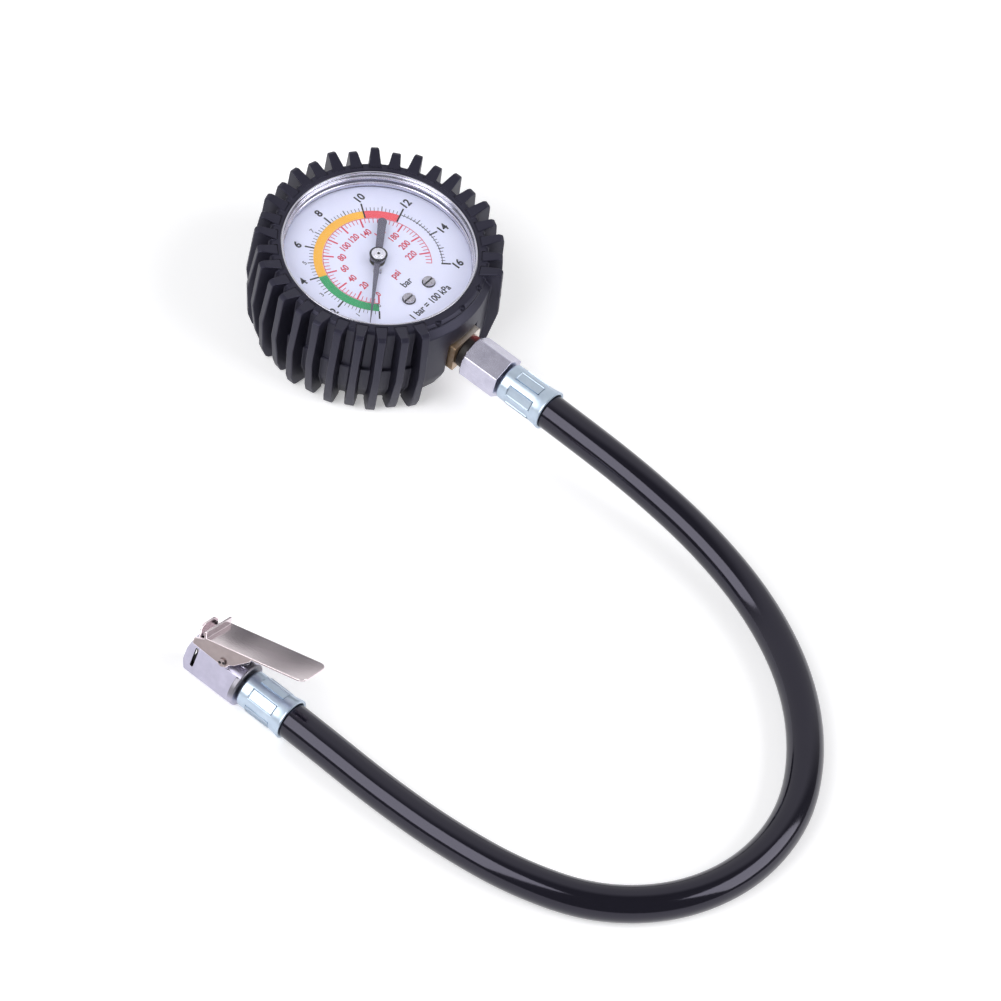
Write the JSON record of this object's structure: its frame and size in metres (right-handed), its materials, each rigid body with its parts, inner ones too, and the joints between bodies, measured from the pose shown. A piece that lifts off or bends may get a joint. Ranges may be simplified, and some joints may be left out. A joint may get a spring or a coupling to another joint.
{
  "type": "tire pressure gauge",
  "caption": "Handheld dial gauge in a ribbed rubber boot, with a short air hose and a lever-operated clip-on valve chuck, lying flat on its back.",
  "frame": {"origin": "centre of the rubber boot's flat back, the face it rests on", "axes": "+Z out through the dial, -Y along the stem towards the hose, +X to the right of the dial seen with the stem towards the viewer"},
  "size_m": [0.1843, 0.2626, 0.038],
  "materials": {
    "boot_rubber": "matt moulded rubber",
    "seal_rubber": "dark red rubber",
    "hose_rubber": "smooth black rubber",
    "pressed_steel": "bright pressed steel",
    "clear_window": "clear polycarbonate",
    "dial_white": "printed white",
    "pointer_black": "dark grey paint",
    "turned_aluminium": "turned",
    "brass": "machined brass",
    "bronze": "phosphor bronze",
    "steel": "turned steel",
    "nickel": "nickel plate",
    "zinc": "zinc plate",
    "spring_steel": "drawn wire"
  },
  "bodies": {
    "gauge": {"rubber_boot": "boot_rubber", "case": "pressed_steel", "bezel_ring": "pressed_steel", "window": "clear_window", "dial": "dial_white", "dial_screws": "steel", "zero_stop": "steel", "bourdon_tube": "bronze", "tube_tip": "brass", "socket": "brass", "thread_seal": "seal_rubber", "movement_back_plate": "brass", "movement_front_plate": "brass", "movement_pillars": "brass", "pillar_screws": "steel", "movement_screws": "steel", "hairspring": "spring_steel", "hairspring_stud": "brass", "gauge_hose_tail": "nickel", "gauge_ferrule": "zinc", "hose": "hose_rubber", "chuck_ferrule": "zinc", "chuck_hose_tail": "nickel", "chuck_body": "nickel", "valve_seal": "seal_rubber", "depressor_pin": "brass", "lever_pin": "steel", "lever_spring": "spring_steel"},
    "sector": {"sector_gear": "brass", "sector_arbor": "steel", "link_pin": "steel"},
    "pointer": {"pinion": "brass", "pointer": "pointer_black", "pointer_hub": "turned_aluminium"},
    "link": {"link": "brass"},
    "lever": {"lever": "nickel", "jaw": "steel"}
  },
  "joints": [
    {"name": "sector_turn", "type": "hinge", "parent": "gauge", "child": "sector", "pos_m": [0.01128, -0.0041, 0.016], "axis": [0, 0, 1], "range_deg": [0, 38.57]},
    {"name": "pointer_turn", "type": "hinge", "parent": "gauge", "child": "pointer", "pos_m": [0, 0, 0.03], "axis": [0, 0, 1], "range_deg": [-270, 0]},
    {"name": "link_turn", "type": "hinge", "parent": "sector", "child": "link", "pos_m": [0.01587, -0.00796, 0.0192], "axis": [0, 0, 1], "range_deg": [-56.6, 0]},
    {"name": "lever_press", "type": "hinge", "parent": "gauge", "child": "lever", "pos_m": [-0.13477, -0.0605, 0.01403], "axis": [0.9478, 0, -0.319], "range_deg": [0, 13], "stiffness_Nm_per_rad": 0.04, "springref_deg": -28.65, "deforming": ["lever_spring"]}
  ],
  "couplings": [
    {"joint": "pointer_turn", "follows": "sector_turn", "ratio": -7},
    {"joint": "link_turn", "follows": "sector_turn", "ratio": -1.467}
  ]
}
